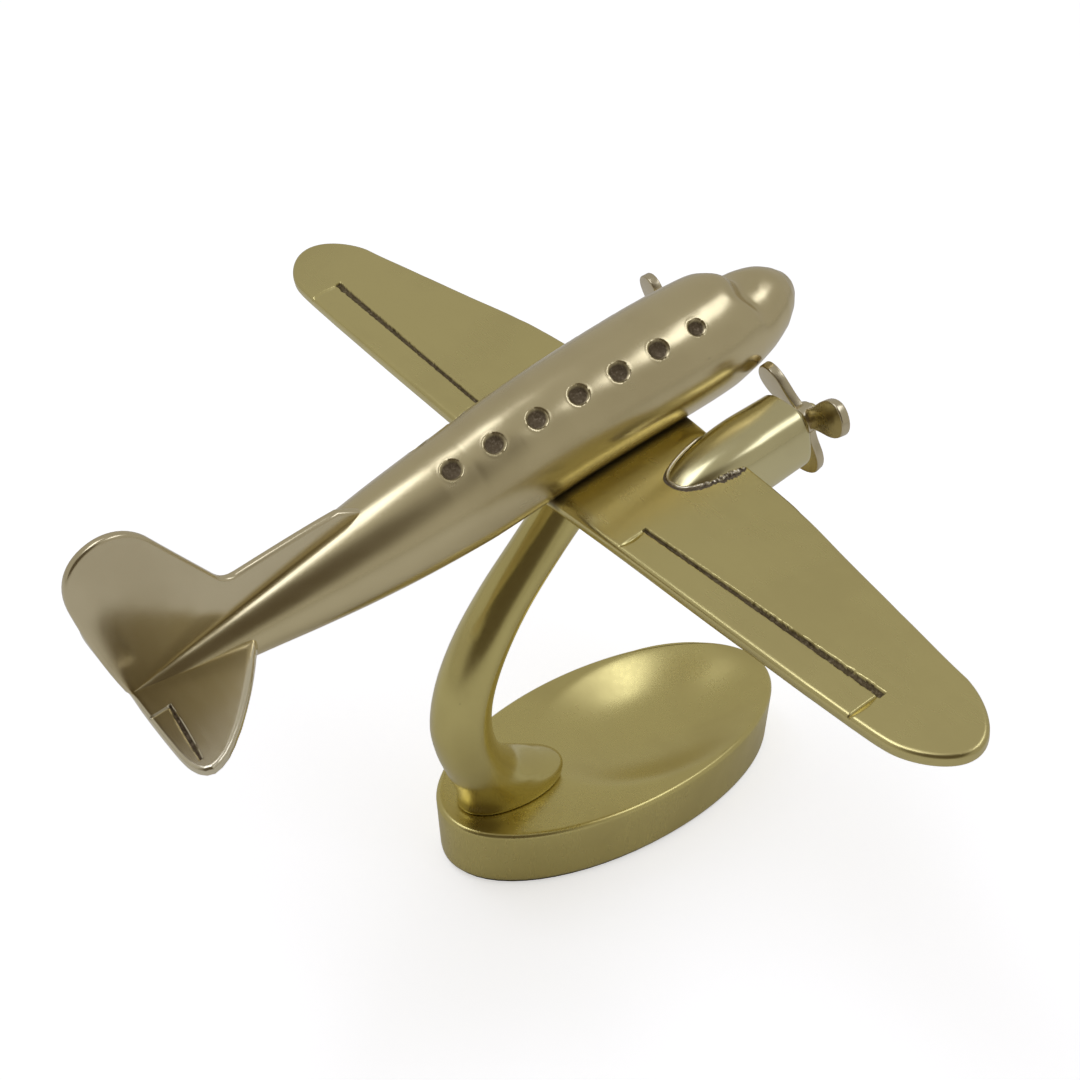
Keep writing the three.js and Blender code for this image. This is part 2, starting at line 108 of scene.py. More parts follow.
def rubbed_brass_group():
    """Hand-rubbed cast brass: brown clouds of tarnish, faint wheel marks, and a few casting pits."""
    group = bpy.data.node_groups.new("rubbed brass", "ShaderNodeTree")
    socket(group, "Brass", "NodeSocketColor", (0.6, 0.53, 0.25, 1))
    socket(group, "Tarnish", "NodeSocketColor", (0.3, 0.22, 0.09, 1))
    socket(group, "Tarnish Amount", "NodeSocketFloat", 0.15)
    socket(group, "Dullness", "NodeSocketFloat", 0.3)
    socket(group, "Wheel Marks", "NodeSocketVector", (60, 900, 900))
    socket(group, "Mark Depth", "NodeSocketFloat", 1.5e-6)
    socket(group, "Waviness", "NodeSocketFloat", 1.5e-4)
    socket(group, "Pitting", "NodeSocketFloat", 1)
    socket(group, "Recess", "NodeSocketFloat", 0)
    socket(group, "Color", "NodeSocketColor", out=True)
    socket(group, "Roughness", "NodeSocketFloat", out=True)
    socket(group, "Height", "NodeSocketFloat", out=True)
    nodes, links = group.nodes, group.links
    given = nodes.new("NodeGroupInput").outputs
    result = nodes.new("NodeGroupOutput").inputs
    where = nodes.new("ShaderNodeTexCoord").outputs["Object"]

    def cloud(scale, detail, at=where, rough=0.55):
        node = nodes.new("ShaderNodeTexNoise")
        node.inputs["Scale"].default_value = scale
        node.inputs["Detail"].default_value = detail
        node.inputs["Roughness"].default_value = rough
        links.new(at, node.inputs["Vector"])
        return node.outputs["Fac"]

    def spread(value, low, high, to_low=0.0, to_high=1.0):
        node = nodes.new("ShaderNodeMapRange")
        node.interpolation_type = "SMOOTHSTEP"
        ends = {"From Min": low, "From Max": high, "To Min": to_low, "To Max": to_high}
        for name, amount in ends.items():
            node.inputs[name].default_value = amount
        links.new(value, node.inputs["Value"])
        return node.outputs["Result"]

    def maths(kind, a, b):
        node = nodes.new("ShaderNodeMath")
        node.operation = kind
        for end, value in zip(node.inputs, (a, b)):
            if isinstance(value, (int, float)):
                end.default_value = value
            else:
                links.new(value, end)
        return node.outputs[0]

    def blend(amount, a, b):
        node = nodes.new("ShaderNodeMix")
        node.data_type = "RGBA"
        links.new(amount, node.inputs["Factor"])
        for end, value in ((node.inputs["A"], a), (node.inputs["B"], b)):
            if isinstance(value, tuple):
                end.default_value = value
            else:
                links.new(value, end)
        return node.outputs["Result"]

    clouds = spread(cloud(26, 4), 0.42, 0.72)
    mottle = cloud(120, 2)
    stretched = nodes.new("ShaderNodeMapping")
    links.new(where, stretched.inputs["Vector"])
    links.new(given["Wheel Marks"], stretched.inputs["Scale"])
    marks = cloud(1, 2, stretched.outputs["Vector"])
    cells = nodes.new("ShaderNodeTexVoronoi")
    cells.inputs["Scale"].default_value = 140
    links.new(where, cells.inputs["Vector"])
    holes = spread(cells.outputs["Distance"], 0.025, 0.06, 1, 0)
    holes = maths("MULTIPLY", holes, spread(cloud(90, 2), 0.6, 0.66))
    holes = maths("MULTIPLY", holes, given["Pitting"])
    rough_floor = maths("MULTIPLY", given["Recess"], cloud(1100, 6, rough=0.75))

    amount = maths("MULTIPLY", clouds, given["Tarnish Amount"])
    amount = maths("ADD", amount, maths("MULTIPLY", mottle, 0.05))
    tarnished = blend(amount, given["Brass"], given["Tarnish"])
    pitted = blend(maths("MULTIPLY", holes, 0.8), tarnished, (0.07, 0.045, 0.02, 1))
    # The recess colour is grime in chiselled lines and drill points, and painted shade where the wing
    # meets the body.
    grime_and_shade = blend(spread(rough_floor, 0.42, 0.75), (0.1, 0.07, 0.042, 1), (0.42, 0.34, 0.23, 1))
    links.new(blend(given["Recess"], pitted, grime_and_shade), result["Color"])

    dull = maths("ADD", given["Dullness"], maths("MULTIPLY", maths("SUBTRACT", mottle, 0.5), 0.04))
    dull = maths("ADD", dull, maths("MULTIPLY", clouds, 0.05))
    dull = maths("ADD", dull, maths("MULTIPLY", maths("SUBTRACT", marks, 0.5), 0.08))
    dull = maths("ADD", dull, maths("MULTIPLY", given["Recess"], 0.3))
    links.new(dull, result["Roughness"])

    height = maths("MULTIPLY", cloud(17, 1), given["Waviness"])
    height = maths("ADD", height, maths("MULTIPLY", marks, given["Mark Depth"]))
    height = maths("SUBTRACT", height, maths("MULTIPLY", holes, 9e-5))
    height = maths("ADD", height, maths("MULTIPLY", rough_floor, 2.5e-4))
    links.new(height, result["Height"])
    return group


rubbed_brass = rubbed_brass_group()


def brass(name, recess="", **looks):
    """A brass with the rubbed brass group as its skin; recess names an attribute that holds grime and
    painted shade.
    """
    material = bpy.data.materials.new(name)
    material.use_nodes = True
    nodes, links = material.node_tree.nodes, material.node_tree.links
    shader = nodes["Principled BSDF"]
    shader.inputs["Metallic"].default_value = 1
    surface = nodes.new("ShaderNodeGroup")
    surface.node_tree = rubbed_brass
    for key, value in looks.items():
        surface.inputs[key.replace("_", " ")].default_value = value
    if recess:
        marked = nodes.new("ShaderNodeAttribute")
        marked.attribute_name = recess
        links.new(marked.outputs["Fac"], surface.inputs["Recess"])
    bump = nodes.new("ShaderNodeBump")
    bump.inputs["Distance"].default_value = 1
    links.new(surface.outputs["Height"], bump.inputs["Height"])
    links.new(surface.outputs["Color"], shader.inputs["Base Color"])
    links.new(surface.outputs["Roughness"], shader.inputs["Roughness"])
    links.new(bump.outputs["Normal"], shader.inputs["Normal"])
    return material


BASE_HALF = (71, 36)
BASE_UNDER, BASE_TOP = 1.5, 24.5
BASE_RIM = 1.7
WALL_FROM, WALL_LEAN = 3.2, 0.9
DISH_MIDDLE, DISH_HALF, DISH_DEPTH = 19, (49.3, 32), 9.2

# Every ring of the base is an oval: middle, half length, half width and height.
base_rings = [(0, 0, 0, BASE_UNDER), (0, 69.4, 34.4, BASE_UNDER), (0, 69.9, 34.9, BASE_UNDER + 0.5)]
for share in (0, 0.02, 0.25, 0.5, 0.75, 1):
    inward = (1 - share) * WALL_LEAN
    height = WALL_FROM + share * (BASE_TOP - BASE_RIM - WALL_FROM)
    base_rings.append((0, BASE_HALF[0] - inward, BASE_HALF[1] - inward, height))
for k in range(1, 8):
    turn = math.radians(90 * k / 7)
    inward = BASE_RIM * (1 - math.cos(turn))
    height = BASE_TOP - BASE_RIM * (1 - math.sin(turn))
    base_rings.append((0, BASE_HALF[0] - inward, BASE_HALF[1] - inward, height))
for share in (0.04, 0.3, 0.6, 0.9, 1):
    half = [BASE_HALF[i] - BASE_RIM + share * (DISH_HALF[i] - BASE_HALF[i] + BASE_RIM) for i in (0, 1)]
    base_rings.append((share * DISH_MIDDLE, *half, BASE_TOP))
for k in range(1, 33):
    share = 1 - k / 32
    fall = DISH_DEPTH * (1 - share**2.4) ** 1.45
    base_rings.append((DISH_MIDDLE, *(half * share for half in DISH_HALF), BASE_TOP - fall))


def base_corner(across, along):
    middle, half, side, height = base_rings[round(along * (len(base_rings) - 1))]
    turn = 2 * math.pi * across
    return Vector((middle + half * math.cos(turn), side * math.sin(turn), height))


base_brass = brass(
    "base brass",
    Brass=(0.67, 0.575, 0.22, 1),
    Dullness=0.27,
    Wheel_Marks=(500, 500, 60),
    Mark_Depth=6e-7,
    Waviness=3e-4,
)
finish_piece(skin(192, len(base_rings) - 1, base_corner), "oval_base", base_brass, ["base"])

# ------------------------------------------------------------------ felt and hidden fixings
# A pad of dark felt is glued under the base, a little inside its edge, and hides two steel screws with
# washers that pull the strut down. Two more screws and a stud hold the wing, and stay out of sight.


def felt_material():
    material = bpy.data.materials.new("dark felt")
    material.use_nodes = True
    nodes, links = material.node_tree.nodes, material.node_tree.links
    shader = nodes["Principled BSDF"]
    shader.inputs["Roughness"].default_value = 1
    shader.inputs["Sheen Weight"].default_value = 0.4
    where = nodes.new("ShaderNodeTexCoord").outputs["Object"]
    fibres = nodes.new("ShaderNodeTexNoise")
    fibres.inputs["Scale"].default_value = 2600
    fibres.inputs["Detail"].default_value = 6
    links.new(where, fibres.inputs["Vector"])
    colours = nodes.new("ShaderNodeValToRGB")
    colours.color_ramp.elements[0].position = 0.35
    colours.color_ramp.elements[0].color = (0.012, 0.011, 0.01, 1)
    colours.color_ramp.elements[1].color = (0.055, 0.05, 0.042, 1)
    links.new(fibres.outputs["Fac"], colours.inputs["Fac"])
    links.new(colours.outputs["Color"], shader.inputs["Base Color"])
    bump = nodes.new("ShaderNodeBump")
    bump.inputs["Distance"].default_value = 0.0003
    links.new(fibres.outputs["Fac"], bump.inputs["Height"])
    links.new(bump.outputs["Normal"], shader.inputs["Normal"])
    return material


def dress(node, material):
    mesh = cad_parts[node].data
    mesh.materials.clear()
    mesh.materials.append(material)


dress("base_felt", felt_material())
screw_steel = brass(
    "screw steel",
    Brass=(0.5, 0.49, 0.46, 1),
    Tarnish=(0.28, 0.24, 0.2, 1),
    Dullness=0.38,
    Wheel_Marks=(900, 900, 900),
    Waviness=0.0,
)
FIXINGS = ["foot_screw_rear", "foot_screw_front", "foot_washer_rear", "foot_washer_front"]
FIXINGS += ["wing_screw_front", "wing_screw_rear", "strut_stud"]
for fixing in FIXINGS:
    dress(fixing, screw_steel)

# ------------------------------------------------------------------ the strut
# One casting, from a rounded foot on the base up through a swan neck to the wing. It is oval in
# section and rubbed smooth, with a soft ridge left along each flank.

# The aeroplane is made level, with its wing through the origin, and then pitched up on the strut.
PITCH = 11
AEROPLANE = Matrix.Translation((-21, 0, 149)) @ Matrix.Rotation(math.radians(-PITCH), 4, "Y")

# Sections from the foot up: middle x, middle z, lean in degrees, half length, half width.
STRUT_SECTIONS = [
    (-44.1, 24.75, 0, 20.2, 11.2),
    (-44.1, 25.6, 0, 20.7, 11.6),
    (-44.3, 29, 0, 20.3, 11.4),
    (-48.9, 33.8, 0, 16.7, 11),
    (-55.6, 40.5, 2, 12.7, 10.8),
    (-61, 51, 5, 10.9, 11),
    (-63.3, 63, 8, 10.4, 11),
    (-61.5, 77, 18, 9.8, 10.6),
    (-55.5, 92, 28, 9, 10.1),
    (-45.9, 107, 36, 8.4, 9.3),
    (-34, 121, 41, 8.2, 8.7),
    (-20, 136, 43, 9, 8.4),
    (-5, 151, 44, 12.4, 9),
    (6, 162, 45, 14.5, 9.2),
]
strut_middle, strut_height, strut_lean, strut_half, strut_side = (
    through([(i, section[k]) for i, section in enumerate(STRUT_SECTIONS)]) for k in range(5)
)
STRUT_ROWS = 150


def squared(value, power):
    """The cosine or sine of a circle, bent towards a rounded square."""
    return math.copysign(abs(value) ** (2 / power), value)


def strut_corner(across, along):
    row = round(along * (STRUT_ROWS + 2))
    at = min(max(row - 1, 0), STRUT_ROWS) / STRUT_ROWS * (len(STRUT_SECTIONS) - 1)
    inside = 0 if row in (0, STRUT_ROWS + 2) else 1
    turn = 2 * math.pi * across
    lean = math.radians(strut_lean(at))
    power = 2.1 - 0.3 * step(4, 7, at)
    forward = inside * strut_half(at) * squared(math.cos(turn), power)
    side = inside * strut_side(at) * squared(math.sin(turn), power)
    return Vector(
        (strut_middle(at) + forward * math.cos(lean), side, strut_height(at) - forward * math.sin(lean))
    )


def close_up(bm):
    """Fills every open end of a mesh with one flat face."""
    bmesh.ops.holes_fill(bm, edges=[edge for edge in bm.edges if edge.is_boundary])


# The strut's top is cut off just inside the underside of the wing.
STRUT_CUT = -2.85
strut_mesh = skin(72, STRUT_ROWS + 2, strut_corner)
bmesh.ops.recalc_face_normals(strut_mesh, faces=strut_mesh.faces)
under_wing = AEROPLANE @ Matrix.Translation((0, 0, STRUT_CUT))
bmesh.ops.bisect_plane(
    strut_mesh,
    geom=strut_mesh.verts[:] + strut_mesh.edges[:] + strut_mesh.faces[:],
    plane_co=under_wing.translation,
    plane_no=under_wing.col[2].xyz,
    clear_outer=True,
)
close_up(strut_mesh)
strut_brass = brass(
    "strut brass",
    Brass=(0.64, 0.55, 0.21, 1),
    Dullness=0.2,
    Wheel_Marks=(700, 700, 70),
    Waviness=3e-4,
)
finish_piece(strut_mesh, "swan_neck_strut", strut_brass, ["strut"])

# ------------------------------------------------------------------ the wing
# One flat casting from tip to tip, about 4.5 mm thick, with a rounded edge all round and a fillet
# along the body. The flaps and ailerons are only chiselled in the top, and their grooves hold grime.

WING_HALF_SPAN = 165.5
WING_TOP, WING_UNDER, WING_EDGE = 1.7, -2.9, 1.5
DIHEDRAL = math.tan(math.radians(1))

leading_line = through(
    [(0, 41), (9, 40.3), (40, 37.2), (57, 35.6), (70, 33.8), (95, 29.2), (118, 25), (147, 20),
     (WING_HALF_SPAN, 17.2)]
)
trailing_line = through(
    [(0, -14.4), (43, -13.4), (80, -12.8), (120, -11.9), (137, -11.3), (147, -10.6),
     (WING_HALF_SPAN, -8.4)]
)
TIP_START = 147
GROOVE_ENDS = (42.5, 135.5)
NICK_FROM = -12.3  # where the cuts at the ends of the flaps begin, near the trailing edge


def wing_edges(out):
    """The x of the trailing and the leading edge, which come together in an ellipse at the tip."""
    rear, front = trailing_line(out), leading_line(out)
    share = max(0, out - TIP_START) / (WING_HALF_SPAN - TIP_START)
    half = (front - rear) / 2 * math.sqrt(max(0, 1 - share * share))
    return (front + rear) / 2 - half, (front + rear) / 2 + half


def groove_x(out):
    return -2.8 + 3 * (out - GROOVE_ENDS[0]) / (GROOVE_ENDS[1] - GROOVE_ENDS[0])


def spaced(marks):
    """Positions from the first mark to the last; each mark but the last gives the spacing after it."""
    places = [marks[0][0]]
    for (low, gap), (high, _) in zip(marks, marks[1:]):
        count = max(1, round((high - low) / gap))
        places += [low + (high - low) * (k + 1) / count for k in range(count)]
    return places


half_rows = spaced([(0, 1.6), (41, 0.24), (45.2, 0.6), (134, 0.24), (138.2, 1.4), (TIP_START, 1)])
half_rows += [
    TIP_START + (WING_HALF_SPAN - TIP_START) * math.sin(math.radians(3 * (k + 1))) for k in range(30)
]
wing_rows = [-out for out in reversed(half_rows[1:])] + half_rows


def places_across(low, line, width, high, counts):
    """Places from the edge gaps low to the edge gaps high, closest together over a chiselled line."""
    before, over, after = counts
    places = list(low)
    places += [low[-1] + (line - width - low[-1]) * (k + 1) / (before + 1) for k in range(before)]
    places += [line - width + 2 * width * k / (over - 1) for k in range(over)]
    places += [line + width + (high[0] - line - width) * (k + 1) / (after + 1) for k in range(after)]
    return places + high


# How far in from either edge the first columns of the mesh lie, so that the edge turns smoothly.
WING_GAPS = (0, 0.08, 0.2, 0.4, 0.7, 1.1, 1.7)


def wing_places(out):
    rear, front = wing_edges(out)
    chord = front - rear
    squeeze = min(1, chord / 14)
    low = [rear + gap * squeeze for gap in WING_GAPS]
    high = [front - gap * squeeze for gap in reversed(WING_GAPS)]
    line = min(max(groove_x(out), rear + 0.17 * chord), front - 0.3 * chord)
    return places_across(low, line, 1.9 * min(1, chord / 24), high, (14, 15, 16))


wing_columns = len(wing_places(0))
tip_rows = [out for out in half_rows if out > 138]
tip_outline = [Vector((wing_edges(out)[0], out)) for out in tip_rows]
tip_outline += [Vector((wing_edges(out)[1], out)) for out in reversed(tip_rows)]


def nearest(near, point, outline):
    """The distance from a point to an outline, or near where that is less."""
    for a, b in zip(outline, outline[1:]):
        run = b - a
        share = min(max((point - a).dot(run) / max(run.length_squared, 1e-9), 0), 1)
        near = min(near, (a + run * share - point).length)
    return near


def edge_fall(x, out):
    """How far the surface has dropped at a point near the edge of the wing."""
    rear, front = wing_edges(out)
    near = min(x - rear, front - x)
    if out > TIP_START and near < 4 or out > 160:
        near = nearest(near, Vector((x, out)), tip_outline)
    near = max(0, min(near, WING_EDGE))
    return WING_EDGE - math.sqrt(WING_EDGE**2 - (WING_EDGE - near) ** 2)


def groove_depth(x, y):
    """Depth of the chiselled line of the flaps at a point of the top."""
    out = abs(y)
    if not GROOVE_ENDS[0] - 0.5 < out < GROOVE_ENDS[1] + 1:
        return 0
    along = (out - GROOVE_ENDS[0]) / (GROOVE_ENDS[1] - GROOVE_ENDS[0])
    ragged = noise.noise(Vector((y * 0.55, 7, 1))) + 0.6 * noise.noise(Vector((y * 1.7, 2, 9)))
    width = 0.66 + 0.5 * along**2 + (0.1 + 0.5 * along**2) * ragged
    shift = 0.25 * along * noise.noise(Vector((y * 0.3, 5, 5)))
    off = abs(x - groove_x(out) - shift)
    floor = 0.95 + 0.45 * noise.noise(Vector((x * 0.9, y * 0.9, 3)))
    return (1 - step(width * 0.55, width + 0.25, off)) * floor


def nick_depth(x, y):
    """Depth of the slanted chisel cut that closes each end of the flaps, widest halfway."""
    depth = 0
    for end in GROOVE_ENDS:
        share = (x - NICK_FROM) / (groove_x(end) - NICK_FROM)
        if 0 < share < 1:
            width = 1.9 * math.sin(math.pi * share) ** 0.6
            off = abs(y) - end + 0.4
            if 0 < off < width:
                depth = 0.38 * width * min(off / 0.4, (width - off) / max(width - 0.4, 0.1))
    return depth


def wing_rise(out):
    """How far the wing has climbed at a distance out, eased in the middle."""
    return DIHEDRAL * math.sqrt(out * out + 9)


def wing_skin(x, out):
    """Height of the plain top of the wing: a little swollen, and padded up where the body stands."""
    pad = 1.0 * (1 - step(21, 33 - 0.12 * x, out)) * step(-14.5, -9, x) * (1 - step(34, 41, x))
    swell = 0.3 * math.sin(math.pi * min(max((x + 14) / 54, 0), 1)) * (1 - step(60, 165, out))
    return WING_TOP + wing_rise(out) + pad + swell


def wing_sheet(top):
    def place(across, along):
        y = wing_rows[round(along * (len(wing_rows) - 1))]
        out = abs(y)
        x = wing_places(out)[round(across * (wing_columns - 1))]
        fall = edge_fall(x, out)
        if not top:
            return Vector((x, y, wing_rise(out) + WING_UNDER + fall))
        return Vector((x, y, wing_skin(x, out) - fall - groove_depth(x, y) - nick_depth(x, y)))

    return skin(wing_columns - 1, len(wing_rows) - 1, place)


def add_to(whole, part):
    """Puts one mesh into another; the part is used up."""
    held = bpy.data.meshes.new("part")
    part.to_mesh(held)
    part.free()
    whole.from_mesh(held)
    bpy.data.meshes.remove(held)


def two_faced(top, under):
    """A plate of two skins with the same outline, joined by a wall."""
    add_to(top, under)
    bmesh.ops.bridge_loops(top, edges=[edge for edge in top.edges if edge.is_boundary])
    return top


wing_mesh = two_faced(wing_sheet(True), wing_sheet(False))
grime_and_shade = wing_mesh.verts.layers.float.new("grime_and_shade")
for corner in wing_mesh.verts:
    if corner.co.z > 0:
        cut = step(0.2, 0.6, groove_depth(corner.co.x, corner.co.y))
        # A band of the top along the body is darkened with painted shade, where the wing meets the
        # body.
        painted_joint_shade = 1 - step(12.8, 16.5, abs(corner.co.y))
        corner[grime_and_shade] = max(0.9 * cut, 0.75 * painted_joint_shade)
wing_brass = brass(
    "wing brass",
    "grime_and_shade",
    Brass=(0.67, 0.58, 0.245, 1),
    Dullness=0.25,
    Wheel_Marks=(420, 60, 420),
    Waviness=6e-4,
)
finish_piece(wing_mesh, "wing_casting", wing_brass, ["wing"], lay=AEROPLANE)

# ------------------------------------------------------------------ the fuselage
# A round, tapering casting. The cockpit roof ends in a hollowed step above the blunt nose, and seven
# drill points a side stand for the cabin windows, each with a burr rubbed bright round it.

TAIL_X, NOSE_X = -149, 94.5
# The cabin is as high as it is wide, so its side and its roof share these radii.
CABIN = [(-92, 12.2), (-72, 14.8), (-54, 16.6), (-36, 17.8), (-18, 18.5), (0, 18.8), (20, 19.2)]
body_side = through(
    [(TAIL_X, 3.4), (-132, 6.2), (-113, 9), *CABIN, (42, 19.5), (58, 18.9), (69, 16.8),
     (77, 14.5), (84, 11.8), (88.8, 8.6), (92.1, 5.3), (94, 2.3), (NOSE_X, 0)]
)
body_roof = through(
    [(TAIL_X, 3.2), (-132, 6), (-113, 8.9), *CABIN, (42, 19.5), (56, 19.5), (62, 19.4),
     (65.5, 19), (67.8, 18), (69.5, 16.2), (71.2, 14.2), (73.2, 13), (76.2, 12.8), (80, 12.8),
     (84, 11.4), (88.8, 8.4), (92.1, 5.3), (94, 2.3), (NOSE_X, 0)]
)
body_axis = through(
    [(TAIL_X, 12), (-113, 12.7), (-72, 13.6), (-36, 15), (-18, 16.6), (0, 17.7), (20, 18.1), (40, 18),
     (62, 17.4), (77, 16.6), (90, 17.6), (NOSE_X, 17.8)]
)
WINDOW_STEP = 14.8
WINDOW_X = [46.7 - WINDOW_STEP * k for k in range(7)]
WINDOW_RADIUS, WINDOW_DEPTH = 3.2, 1.2
PORT_DROP = 13  # degrees that the port row was drilled further round from the crown
window_angle = through([(-42, 25.5), (-13, 32.4), (17, 37.4), (47, 38.8)])

body_stations = spaced(
    [(TAIL_X, 2), (-110, 2.4), (-47.5, 0.42), (51.5, 1), (62, 0.5), (78, 1), (88, 0.6), (92.5, 0.25),
     (NOSE_X, 1)]
)
# Columns of the mesh in a band over each row of windows, over the crown and under the belly.
BAND_HALF = 5.0
BAND_CELLS, CROWN_CELLS, BELLY_CELLS = 24, 12, 56
body_columns = 2 * BAND_CELLS + CROWN_CELLS + BELLY_CELLS


def body_turns(x):
    """Angles round the body from its crown, closest together over the two rows of windows."""
    port, starboard = window_angle(x) + PORT_DROP, 360 - window_angle(x)
    half = math.degrees(BAND_HALF / max(body_side(x), 9))
    turns = []
    for low, high, count in (
        (starboard + half - 360, port - half, CROWN_CELLS),
        (port - half, port + half, BAND_CELLS),
        (port + half, starboard - half, BELLY_CELLS),
        (starboard - half, starboard + half, BAND_CELLS),
    ):
        turns += [low + (high - low) * k / count for k in range(count)]
    return [math.radians(turn) for turn in turns + [starboard + half]]


station_turns = [body_turns(x) for x in body_stations]


def window_cut(x, turn):
    """How far the skin is cut away at the windows, or raised where negative; and the grime there."""
    turn = (turn + math.pi) % (2 * math.pi) - math.pi
    if not -50 < x < 54 or abs(turn) > 1.4:
        return 0, 0
    number = min(6, max(0, round((WINDOW_X[0] - x) / WINDOW_STEP)))
    middle = WINDOW_X[number]
    drop = window_angle(middle) + (PORT_DROP if turn > 0 else 0)
    radius = WINDOW_RADIUS * (0.86 if number == 0 else 1)
    run, rise = x - middle, body_side(middle) * (abs(turn) - math.radians(drop))
    off = math.hypot(run, rise)
    ragged = noise.noise(Vector((x * 1.3, turn * 24, 4)))
    inside = 1 - step(radius - 0.35, radius + 0.25, off)
    bowl = WINDOW_DEPTH * max(0, 1 - (off / (radius + 0.6)) ** 2)
    lip = 0.07 * math.exp(-(((off - radius - 0.4) / 0.35) ** 2))
    # Rubbing has left the skin a little low round each window and proud between them.
    wave = math.cos(2 * math.pi * (x - 0.25 * rise - WINDOW_X[0]) / WINDOW_STEP)
    sunk = (0.03 if turn > 0 else 0.06) * wave * math.exp(-((rise / 7) ** 2))
    sunk *= step(-50, -46, x) * (1 - step(50, 54, x))
    dirt = 1 - step(radius - 0.5, radius + 0.05, off)
    return inside * (0.35 + bowl + 0.25 * ragged) - lip + sunk, dirt


def body_corner(across, along):
    row = round(along * (len(body_stations) - 1))
    x = body_stations[row]
    turn = station_turns[row][round(across * body_columns)]
    down = abs((turn + math.pi) % (2 * math.pi) - math.pi)
    # The step under the cockpit roof curls a little aft down each side of the nose.
    lag = 2.4 * math.exp(-(((down - 0.5) / 0.3) ** 2)) * step(58, 66, x) * (1 - step(74, 86, x))
    high = body_roof(min(x + lag, NOSE_X)) if math.cos(turn) > 0 else body_side(x)
    cut, _ = window_cut(x, turn)
    side, up = body_side(x) * math.sin(turn), high * math.cos(turn)
    reach = math.hypot(side, up)
    share = (reach - cut) / reach if reach > 0.1 else 1
    return Vector((x, side * share, body_axis(x) + up * share))


body_mesh = skin(body_columns, len(body_stations) - 1, body_corner)
close_up(body_mesh)
grime_and_shade = body_mesh.verts.layers.float.new("grime_and_shade")
for corner in body_mesh.verts:
    turn = math.atan2(corner.co.y, corner.co.z - body_axis(corner.co.x)) % (2 * math.pi)
    over_wing = step(-16, -14, corner.co.x) * (1 - step(41, 43, corner.co.x))
    # A thin band of the body just above the wing is darkened with painted shade, where it meets the
    # wing.
    painted_joint_shade = over_wing * (1 - step(3.6, 5.2, corner.co.z))
    corner[grime_and_shade] = max(0.9 * window_cut(corner.co.x, turn)[1], 0.75 * painted_joint_shade)
body_brass = brass(
    "body brass", "grime_and_shade", Brass=(0.67, 0.575, 0.33, 1), Dullness=0.22, Wheel_Marks=(60, 420, 420)
)
finish_piece(body_mesh, "fuselage_casting", body_brass, ["fuselage"], lay=AEROPLANE)

# ------------------------------------------------------------------ the fin
# A brass plate let into a slot along the spine and soldered, with a low ridge that runs forward from
# it and ends in a small step. Its edges are rubbed round.

PLATE = 1.6


def rounded_plate(bm, points, round_by=1.1, half=PLATE):
    """A plate from -half to half in z, cut to a closed outline in x and y and rubbed round."""
    corners = [bm.verts.new((x, y, -half)) for x, y in points]
    bottom = bm.faces.new(corners)
    raised = bmesh.ops.extrude_face_region(bm, geom=[bottom])["geom"]
    top = [part for part in raised if isinstance(part, bmesh.types.BMVert)]
    bmesh.ops.translate(bm, verts=top, vec=(0, 0, 2 * half))
    rims = [edge for edge in bm.edges if abs(edge.verts[0].co.z - edge.verts[1].co.z) < 1e-6]
    bmesh.ops.bevel(
        bm,
        geom=rims,
        offset=round_by,
        segments=5,
        profile=0.5,
        affect="EDGES",
        material=-1,
        clamp_overlap=True,
    )


def bend(start, pull_out, pull_in, end, count=10):
    """Points on a curve from start to end, without its first point."""
    points = []
    for k in range(1, count + 1):
        t = k / count
        points.append(
            tuple(
                (1 - t) ** 3 * a + 3 * (1 - t) ** 2 * t * b + 3 * (1 - t) * t * t * c + t**3 * d
                for a, b, c, d in zip(start, pull_out, pull_in, end)
            )
        )
    return points


fin_outline = [(-149.4, 13), (-74, 20), (-69, 24), (-69, 28.2), (-76.6, 32.7)]
fin_outline += bend((-76.6, 32.7), (-86, 33), (-98, 32.6), (-110, 32.2), 10)
fin_outline += bend((-110, 32.2), (-113.6, 32), (-115, 34), (-116.2, 36.2), 6)
fin_outline += bend((-116.2, 36.2), (-120, 43), (-124, 50), (-127.8, 57), 6)
fin_outline += bend((-127.8, 57), (-131.5, 64.5), (-138, 66.8), (-143.5, 65.8), 12)
fin_outline += bend((-143.5, 65.8), (-151, 64.4), (-155.8, 58.5), (-155, 48), 14)
fin_outline += bend((-155, 48), (-154.5, 38), (-153.4, 27), (-150.8, 15.5), 8)
fin_mesh = bmesh.new()
rounded_plate(fin_mesh, fin_outline)
bmesh.ops.rotate(fin_mesh, verts=fin_mesh.verts, matrix=Matrix.Rotation(math.radians(90), 3, "X"))
fin_brass = brass(
    "fin brass",
    Brass=(0.69, 0.6, 0.38, 1),
    Dullness=0.2,
    Wheel_Marks=(200, 420, 60),
    Waviness=2e-4,
)
finish_piece(fin_mesh, "fin_plate", fin_brass, ["fin"], lay=AEROPLANE, crease=35)

# ------------------------------------------------------------------ the tailplanes
# Two more plates, let into the sides of the tail and soldered, with the elevator's hinge line chiselled
# in the top.

TAILPLANE_Z, TAIL_EDGE = 13.2, 1.2
TAIL_REACH = 41.4
tail_front = through(
    [(0, -112.4), (6, -113), (9, -114), (13.5, -117), (18.5, -120.5), (23.5, -124.3), (28.5, -128.5),
     (33, -132.6), (37, -136.8), (39.5, -140), (40.9, -142.9), (TAIL_REACH, -145.4)]
)
tail_rear = through(
    [(0, -150), (8, -150.4), (18, -150.6), (26, -150.6), (31, -150.5), (35, -150.1), (38.3, -149.1),
     (40.4, -147.6), (TAIL_REACH, -145.6)]
)
ELEVATOR = ((13.5, -143.8), (36.5, -146.4))
ELEVATOR_REAR = -150.2  # where the cut at its inner end begins
PORT_SHORTER = 0.93  # the port plate reaches a little less than the starboard one


def tail_edges(out):
    return tail_rear(out), tail_front(out)


